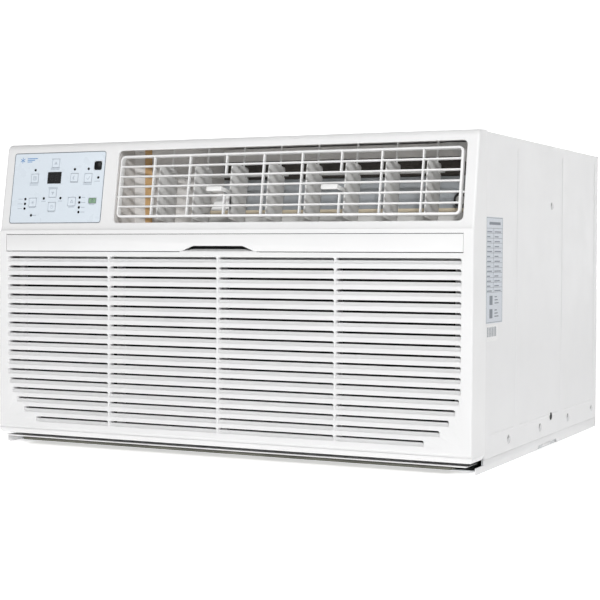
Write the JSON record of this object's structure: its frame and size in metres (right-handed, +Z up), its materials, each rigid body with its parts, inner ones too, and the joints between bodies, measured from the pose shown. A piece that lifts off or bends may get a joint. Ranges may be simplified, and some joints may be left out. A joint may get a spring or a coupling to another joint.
{
  "type": "window air conditioner",
  "caption": "Through-the-wall room air conditioner: slotted front panel, filter door, tilting louvre grid with swinging vanes, membrane keys, steel case, coils, compressor and fans inside.",
  "frame": {"origin": "on the ground under the middle of the case", "axes": "+X to the right seen from the front, +Y from the front panel towards the rear grille, +Z up"},
  "size_m": [0.614, 0.51, 0.368],
  "materials": {
    "white_plastic": "white moulded plastic, fine satin grain",
    "painted_steel": "white powder-coated sheet steel",
    "overlay_film": "pale blue printed polyester film",
    "key_film": "pale blue embossed film",
    "green_key": "green embossed film",
    "dark_window": "smoked clear plastic",
    "louvre_plastic": "white moulded plastic",
    "vane_plastic": "grey-white moulded plastic",
    "duct_foam": "grey insulating foam",
    "scroll_foam": "grey-white expanded foam",
    "galvanised": "galvanised sheet steel",
    "aluminium_fins": "plain aluminium fin stock",
    "copper": "bright drawn copper tube",
    "black_paint": "black enamel",
    "fan_plastic": "black filled plastic",
    "shaft_steel": "ground steel",
    "rubber": "black rubber",
    "board_green": "green laminate",
    "capacitor_can": "drawn aluminium can",
    "filter_mesh": "woven nylon filter cloth"
  },
  "bodies": {
    "chassis": {"front_panel": "white_plastic", "filter_frame": "white_plastic", "cabinet_cover": "painted_steel", "base_pan": "painted_steel", "rear_grille": "painted_steel", "control_overlay": "overlay_film", "display_window": "dark_window", "receiver_window": "dark_window", "outlet_duct": "duct_foam", "blower_scroll": "scroll_foam", "bulkhead": "galvanised", "fan_shroud": "galvanised", "motor_bracket": "galvanised", "control_box": "galvanised", "evaporator_coil": "aluminium_fins", "condenser_coil": "aluminium_fins", "suction_line": "copper", "discharge_line": "copper", "capillary_tube": "copper", "fan_motor": "black_paint", "compressor": "black_paint", "accumulator": "black_paint", "compressor_grommet_1": "rubber", "compressor_grommet_2": "rubber", "compressor_grommet_3": "rubber", "cord_gland": "rubber", "control_board": "board_green", "run_capacitor": "capacitor_can", "filter_screen": "filter_mesh"},
    "filter_door": {"filter_door": "white_plastic"},
    "louvre_frame": {"louvre_frame": "louvre_plastic"},
    "fan": {"fan_shaft": "shaft_steel", "blower_wheel": "fan_plastic", "condenser_fan": "fan_plastic"},
    "link_bar_left": {"link_bar_left": "vane_plastic"},
    "link_bar_right": {"link_bar_right": "vane_plastic"},
    "vane_1": {"vane_1": "vane_plastic"},
    "vane_2": {"vane_2": "vane_plastic"},
    "vane_3": {"vane_3": "vane_plastic"},
    "vane_4": {"vane_4": "vane_plastic"},
    "vane_5": {"vane_5": "vane_plastic"},
    "vane_6": {"vane_6": "vane_plastic"},
    "vane_7": {"vane_7": "vane_plastic"},
    "vane_8": {"vane_8": "vane_plastic"},
    "key_up": {"key_up": "key_film"},
    "key_down": {"key_down": "key_film"},
    "key_filter_reset": {"key_filter_reset": "key_film"},
    "key_sleep": {"key_sleep": "key_film"},
    "key_saver": {"key_saver": "key_film"},
    "key_mode": {"key_mode": "key_film"},
    "key_timer": {"key_timer": "key_film"},
    "key_fan": {"key_fan": "key_film"},
    "key_power": {"key_power": "green_key"}
  },
  "joints": [
    {"name": "filter_door_hinge", "type": "hinge", "parent": "chassis", "child": "filter_door", "pos_m": [0, -0.2535, 0.2553], "axis": [-1, 0, 0], "range_deg": [0, 90]},
    {"name": "louvre_tilt", "type": "hinge", "parent": "chassis", "child": "louvre_frame", "pos_m": [0.07525, -0.24114, 0.30112], "axis": [1, 0, 0], "range_deg": [-9, 9]},
    {"name": "vane_1_swing", "type": "hinge", "parent": "chassis", "child": "vane_1", "pos_m": [-0.09345, -0.20675, 0.27078], "axis": [0, 0.1599, 0.9871], "range_deg": [-20, 20]},
    {"name": "vane_2_swing", "type": "hinge", "parent": "chassis", "child": "vane_2", "pos_m": [-0.04525, -0.20675, 0.27078], "axis": [0, 0.1599, 0.9871], "range_deg": [-20, 20]},
    {"name": "vane_3_swing", "type": "hinge", "parent": "chassis", "child": "vane_3", "pos_m": [0.00295, -0.20675, 0.27078], "axis": [0, 0.1599, 0.9871], "range_deg": [-20, 20]},
    {"name": "vane_4_swing", "type": "hinge", "parent": "chassis", "child": "vane_4", "pos_m": [0.05115, -0.20675, 0.27078], "axis": [0, 0.1599, 0.9871], "range_deg": [-20, 20]},
    {"name": "vane_5_swing", "type": "hinge", "parent": "chassis", "child": "vane_5", "pos_m": [0.09935, -0.20675, 0.27078], "axis": [0, 0.1599, 0.9871], "range_deg": [-20, 20]},
    {"name": "vane_6_swing", "type": "hinge", "parent": "chassis", "child": "vane_6", "pos_m": [0.14755, -0.20675, 0.27078], "axis": [0, 0.1599, 0.9871], "range_deg": [-20, 20]},
    {"name": "vane_7_swing", "type": "hinge", "parent": "chassis", "child": "vane_7", "pos_m": [0.19575, -0.20675, 0.27078], "axis": [0, 0.1599, 0.9871], "range_deg": [-20, 20]},
    {"name": "vane_8_swing", "type": "hinge", "parent": "chassis", "child": "vane_8", "pos_m": [0.24395, -0.20675, 0.27078], "axis": [0, 0.1599, 0.9871], "range_deg": [-20, 20]},
    {"name": "link_bar_left_pivot", "type": "hinge", "parent": "vane_3", "child": "link_bar_left", "pos_m": [0.00295, -0.18867, 0.3261], "axis": [0, 0.1599, 0.9871], "range_deg": [-20, 20]},
    {"name": "link_bar_right_pivot", "type": "hinge", "parent": "vane_6", "child": "link_bar_right", "pos_m": [0.14755, -0.18867, 0.3261], "axis": [0, 0.1599, 0.9871], "range_deg": [-20, 20]},
    {"name": "fan_spin", "type": "hinge", "parent": "chassis", "child": "fan", "pos_m": [0.095, 0, 0.16], "axis": [0, 1, 0], "continuous": true},
    {"name": "press_up", "type": "slide", "parent": "chassis", "child": "key_up", "axis": [0, 0.9871, -0.1599], "range_m": [0, 0.0008], "stiffness_N_per_m": 900, "springref_m": -0.0004},
    {"name": "press_down", "type": "slide", "parent": "chassis", "child": "key_down", "axis": [0, 0.9871, -0.1599], "range_m": [0, 0.0008], "stiffness_N_per_m": 900, "springref_m": -0.0004},
    {"name": "press_filter_reset", "type": "slide", "parent": "chassis", "child": "key_filter_reset", "axis": [0, 0.9871, -0.1599], "range_m": [0, 0.0008], "stiffness_N_per_m": 900, "springref_m": -0.0004},
    {"name": "press_sleep", "type": "slide", "parent": "chassis", "child": "key_sleep", "axis": [0, 0.9871, -0.1599], "range_m": [0, 0.0008], "stiffness_N_per_m": 900, "springref_m": -0.0004},
    {"name": "press_saver", "type": "slide", "parent": "chassis", "child": "key_saver", "axis": [0, 0.9871, -0.1599], "range_m": [0, 0.0008], "stiffness_N_per_m": 900, "springref_m": -0.0004},
    {"name": "press_mode", "type": "slide", "parent": "chassis", "child": "key_mode", "axis": [0, 0.9871, -0.1599], "range_m": [0, 0.0008], "stiffness_N_per_m": 900, "springref_m": -0.0004},
    {"name": "press_timer", "type": "slide", "parent": "chassis", "child": "key_timer", "axis": [0, 0.9871, -0.1599], "range_m": [0, 0.0008], "stiffness_N_per_m": 900, "springref_m": -0.0004},
    {"name": "press_fan", "type": "slide", "parent": "chassis", "child": "key_fan", "axis": [0, 0.9871, -0.1599], "range_m": [0, 0.0008], "stiffness_N_per_m": 900, "springref_m": -0.0004},
    {"name": "press_power", "type": "slide", "parent": "chassis", "child": "key_power", "axis": [0, 0.9871, -0.1599], "range_m": [0, 0.0008], "stiffness_N_per_m": 900, "springref_m": -0.0004}
  ],
  "couplings": [
    {"joint": "vane_1_swing", "follows": "vane_3_swing", "ratio": 1},
    {"joint": "vane_2_swing", "follows": "vane_3_swing", "ratio": 1},
    {"joint": "vane_4_swing", "follows": "vane_3_swing", "ratio": 1},
    {"joint": "vane_5_swing", "follows": "vane_6_swing", "ratio": 1},
    {"joint": "vane_7_swing", "follows": "vane_6_swing", "ratio": 1},
    {"joint": "vane_8_swing", "follows": "vane_6_swing", "ratio": 1},
    {"joint": "link_bar_left_pivot", "follows": "vane_3_swing", "ratio": -1},
    {"joint": "link_bar_right_pivot", "follows": "vane_6_swing", "ratio": -1}
  ]
}
